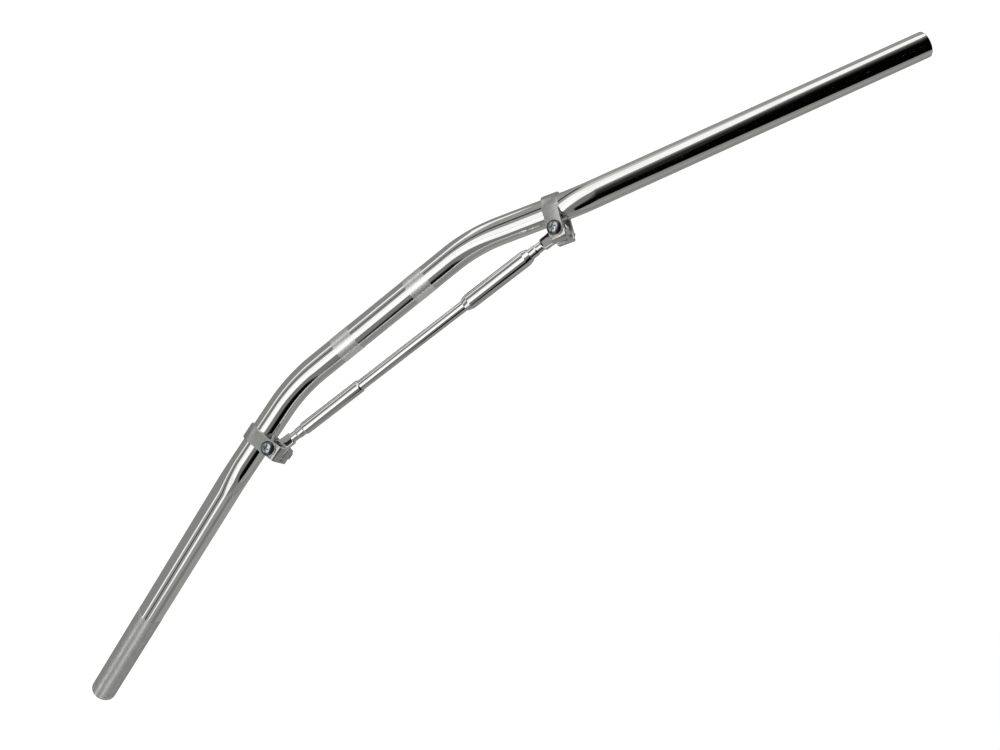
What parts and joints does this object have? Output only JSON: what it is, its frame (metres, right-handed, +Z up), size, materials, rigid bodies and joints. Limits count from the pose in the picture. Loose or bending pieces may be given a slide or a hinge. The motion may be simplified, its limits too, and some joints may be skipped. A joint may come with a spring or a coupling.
{
  "type": "bicycle handlebar",
  "caption": "Bent steel handlebar tube with a knurled grip end, knurled clamp bands and an adjustable cross brace bolted on by two strap clamps",
  "frame": {"origin": "middle of the bar on the axis of its tube, at the middle of the centre seat", "axes": "+X along the bar to the plain grip, +Y forwards to the screw heads, +Z up to the brace"},
  "size_m": [0.93, 0.1769, 0.0677],
  "materials": {
    "bar": "bright chrome plate, fine knurl on the bands and the left grip",
    "brace": "bright chrome plate",
    "brace_rod": "bright chrome plate",
    "strap": "satin zinc plate",
    "fork": "satin zinc plate",
    "screw": "bluish zinc plate",
    "nut": "bluish zinc plate",
    "spacer": "plain zinc plate"
  },
  "bodies": {
    "root": {"bar": "bar", "strap_left": "strap", "strap_right": "strap", "fork_left": "fork", "fork_right": "fork", "screw_left": "screw", "screw_right": "screw", "nut_left": "nut", "nut_right": "nut", "spacer_front_left": "spacer", "spacer_rear_left": "spacer", "spacer_front_right": "spacer", "spacer_rear_right": "spacer", "eye_left": "brace", "eye_right": "brace", "sleeve_left": "brace", "sleeve_right": "brace", "brace_rod": "brace_rod"}
  },
  "joints": []
}
